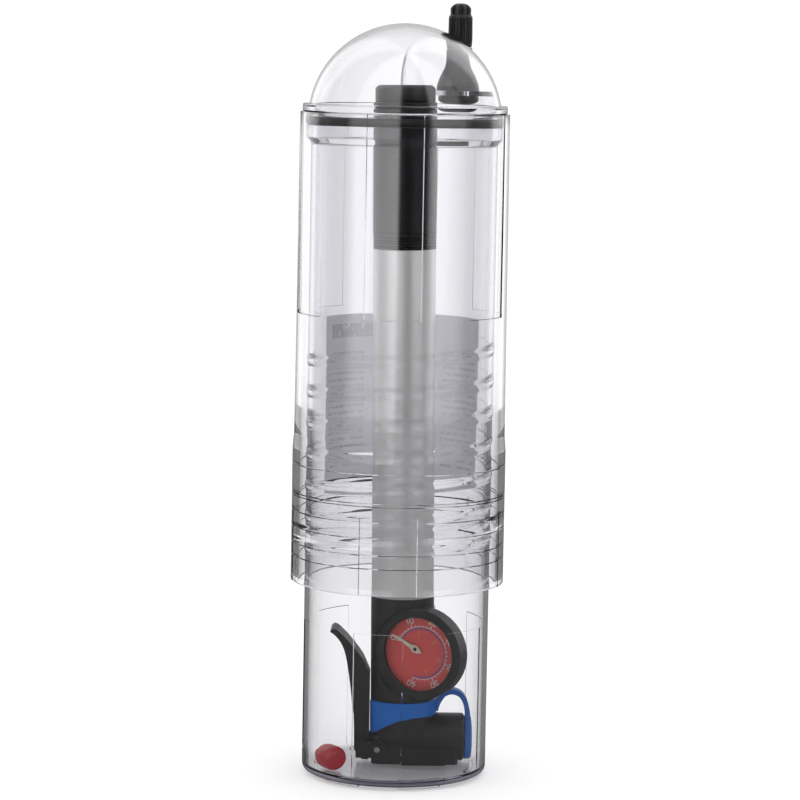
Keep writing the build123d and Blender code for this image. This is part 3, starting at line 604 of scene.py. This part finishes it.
# ---- gauge -----------------------------------------------------------------------------------------
OUT = -np.array(JOINTS["needle_swing"]["axis"], float)
ACROSS = np.cross(UP, OUT)
STROKES = {
    "0": [(0, 0.5), (0, 2.5), (0.5, 3), (1.5, 3), (2, 2.5), (2, 0.5), (1.5, 0), (0.5, 0), (0, 0.5)],
    "1": [(0.4, 2.3), (1.1, 3), (1.1, 0)],
    "2": [(0, 2.4), (0.5, 3), (1.5, 3), (2, 2.4), (1.8, 1.6), (0, 0), (2, 0)],
    "3": [(0, 2.7), (0.6, 3), (1.5, 3), (2, 2.4), (1.2, 1.6), (2, 1.0), (2, 0.5), (1.4, 0), (0.5, 0), (0, 0.4)],
    "4": [(1.5, 0), (1.5, 3), (0, 1), (2, 1)],
    "5": [(1.9, 3), (0.2, 3), (0.1, 1.7), (1.3, 1.9), (2, 1.2), (1.8, 0.3), (1.2, 0), (0, 0.2)],
    "6": [(1.8, 2.8), (1.0, 3), (0.2, 2.2), (0, 0.8), (0.6, 0), (1.5, 0), (2, 0.8), (1.5, 1.6), (0.2, 1.2)],
}


def make_gauge():
    """The dial, its printed scale and plain numbers, and the kite-shaped needle on its hub."""
    middle, half = box_of("gauge_dial")
    radius = half[2] / MM

    def on_dial(rows):
        return middle + MM * (rows[..., :1] * ACROSS + rows[..., 1:2] * UP + rows[..., 2:] * OUT)

    angle = np.linspace(0, 2 * np.pi, 97)[:-1]
    rim = radius * np.column_stack([np.cos(angle), np.sin(angle)])
    dial = surface("gauge_dial_card", plate(rim, -0.4, 0.4, middle, ACROSS, UP, OUT), "gauge_dial")
    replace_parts(dial, "gauge_dial")

    start, sweep = 158.0, -266.0
    white, yellow, violet = [], [], []
    for reach in (10.5, 11.3):
        turn = np.radians(np.linspace(start, start + sweep, 90))
        ink = violet if reach < 11 else white
        width = 0.6 if reach < 11 else 0.3
        ink.append(ribbon(reach * np.column_stack([np.cos(turn), np.sin(turn)]), width, 0.38, 0.43, on_dial))
    for number in range(31):
        turn = radians(start + sweep * number / 30)
        long = 1.5 if number % 5 == 0 else 0.75
        line = np.array([[11.2], [11.3 + long]]) * np.array([np.cos(turn), np.sin(turn)])
        white.append(ribbon(line, 0.42 if number % 5 == 0 else 0.26, 0.38, 0.46, on_dial))
    for number in range(1, 5):
        turn = radians(start + sweep * number / 4.6)
        line = np.array([[8.9], [9.9]]) * np.array([np.cos(turn), np.sin(turn)])
        yellow.append(ribbon(line, 0.2, 0.38, 0.43, on_dial))

    def write(text, reach, turn, size, ink):
        """Digits as bars along their strokes, upright on the dial's radius."""
        radial = np.array([np.cos(turn), np.sin(turn)])
        beside = np.array([np.sin(turn), -np.cos(turn)])
        for place, digit in enumerate(text):
            shift = (place - (len(text) - 1) / 2) * 2.7
            stroke = soft_path(*[(a, b, 0.4) for a, b in STROKES[digit]], steps=3)
            flat = (stroke - (1, 1.5) + (shift, 0)) * size
            line = flat[:, :1] * beside + flat[:, 1:] * radial + reach * radial
            ink.append(ribbon(line, size * 0.62, 0.38, 0.46, on_dial))

    for number in range(7):
        write(str(number * 10), 14.3, radians(start + sweep * number / 6), 0.72, white)
    for number in range(1, 5):
        write(str(number), 7.8, radians(start + sweep * number / 4.6), 0.50, yellow)
    surface("dial_scale_white", white, "gauge_dial", white_ink)
    surface("dial_scale_violet", violet, "gauge_dial", violet_ink)
    surface("dial_scale_yellow", yellow, "gauge_dial", yellow_ink)

    pivot = np.array(JOINTS["needle_swing"]["pos_m"], float)
    pivot = pivot + OUT * ((box_of("gauge_needle")[0] - pivot) @ OUT)
    turn = radians(152.7)
    ahead = np.array([np.cos(turn), np.sin(turn)])
    beside = np.array([-np.sin(turn), np.cos(turn)])
    kite = [(-3.4, 0), (-1.4, -1.25), (0, -1.7), (1.4, -1.35), (2.4, -0.85), (8.0, -0.5), (12.3, -0.12), (12.3, 0.12),
            (8.0, 0.5), (2.4, 0.85), (1.4, 1.35), (0, 1.7), (-1.4, 1.25)]
    outline = np.array([a * ahead + b * beside for a, b in kite])
    needle = surface("gauge_needle_kite", plate(outline, -0.25, 0.25, pivot, ACROSS, UP, OUT, 0.08), "gauge_needle")
    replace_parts(needle, "gauge_needle")
    hub = soft_path((0, 0.2), (0.75, 0.2), (0.75, 0.75, 0.25), (0, 0.8), steps=5)
    surface("gauge_needle_hub", turned(hub, pivot, OUT, UP, 32), "gauge_needle", black_plastic)


# ---- studio ----------------------------------------------------------------------------------------
def make_floor():
    """A wide pale disc whose rings grow outwards, one flat surface."""
    rings = np.array([0.0, 0.1, 0.25, 0.5, 0.9, 1.3])
    turn = np.linspace(0, 2 * np.pi, 65)[:-1]
    grid = rings[:, None, None] * np.stack([np.cos(turn), np.sin(turn), 0 * turn], axis=-1)[None]
    index = np.arange(grid.shape[0] * 64).reshape(-1, 64)
    index = np.column_stack([index, index[:, :1]])
    faces = np.stack([index[:-1, :-1], index[1:, :-1], index[1:, 1:], index[:-1, 1:]], axis=-1).reshape(-1, 4)
    mesh = bpy.data.meshes.new("floor")
    mesh.from_pydata(grid.reshape(-1, 3).tolist(), [], faces.tolist())
    floor = bpy.data.objects.new("floor", mesh)
    scene.collection.objects.link(floor)
    s = Shader("pale_floor")
    cloud = s.noise(6.0, 2.0)
    tone = s.mix(cloud, rgb(0.9, 0.9, 0.9), rgb(0.93, 0.93, 0.93))
    mirrored = s.mirrored() * 0.8
    colour = s.mix(mirrored, tone, rgb(0.0, 0.0, 0.0))
    glow = s.mix(mirrored, rgb(0.16, 0.16, 0.16), rgb(0.0, 0.0, 0.0))
    floor.data.materials.append(s.finish(s.principled(
        Base_Color=colour, Roughness=0.8, Specular_IOR_Level=0.0, Emission_Color=glow, Emission_Strength=1.0)))


def make_world():
    """White all round for what is seen and lit.

    Mirrored rays see a darker room with four tall soft lights and a pale ceiling.
    """
    world = bpy.data.worlds.new("studio")
    scene.world = world
    s = Shader("studio", world)
    direction = s.node("ShaderNodeTexCoord", output=0)
    split = s.node("ShaderNodeSeparateXYZ", inputs=[direction])
    x, y, z = (Socket(s, out) for out in split.output.node.outputs)
    turn = x.math("ARCTAN2", y * -1.0) / (2 * np.pi) + 0.5
    room = s.ramp(turn, *[(place, (tone,) * 3) for place, tone in ROOM])
    ceiling = s.ramp(z, (0.45, (0.0,) * 3), (0.9, (0.5,) * 3))
    mirrored = s.mirrored()
    strength = mirrored * (room * 1.9 + ceiling) + (1.0 - mirrored) * WHITE
    back = s.node("ShaderNodeBackground", inputs={"Color": rgb(1, 1, 1), "Strength": strength})
    end = s.tree.nodes.new("ShaderNodeOutputWorld")
    s.tree.links.new(back.output, end.inputs["Surface"])


WHITE = 1.08
ROOM = [(0.0, 0.35), (0.05, 0.35), (0.08, 0.7), (0.17, 0.7), (0.20, 0.14), (0.315, 0.14), (0.335, 0.8), (0.478, 1.0),
        (0.490, 0.0), (0.575, 0.0), (0.590, 0.9), (0.69, 0.7), (0.71, 0.14), (0.80, 0.14), (0.83, 0.7), (0.92, 0.7),
        (0.95, 0.35), (1.0, 0.35)]


def make_camera():
    """At dome height, 1.32 m away, looking down six degrees to the middle of the can and tipped by one degree."""
    lens = bpy.data.cameras.new("camera")
    lens.sensor_width = 36.0
    lens.lens = 141.3
    lens.clip_start = 0.05
    lens.clip_end = 100
    camera = bpy.data.objects.new("camera", lens)
    camera.location = (0, -1.32, 0.306)
    camera.rotation_euler = (radians(83.683), radians(-1.041), radians(0.115))
    scene.collection.objects.link(camera)
    scene.camera = camera


make_container()
make_sleeve()
make_oring()
make_leaflet()
make_adapter()
make_valve()
make_pump()
make_gauge()
make_floor()
make_world()
make_camera()
scene.view_settings.view_transform = "Standard"
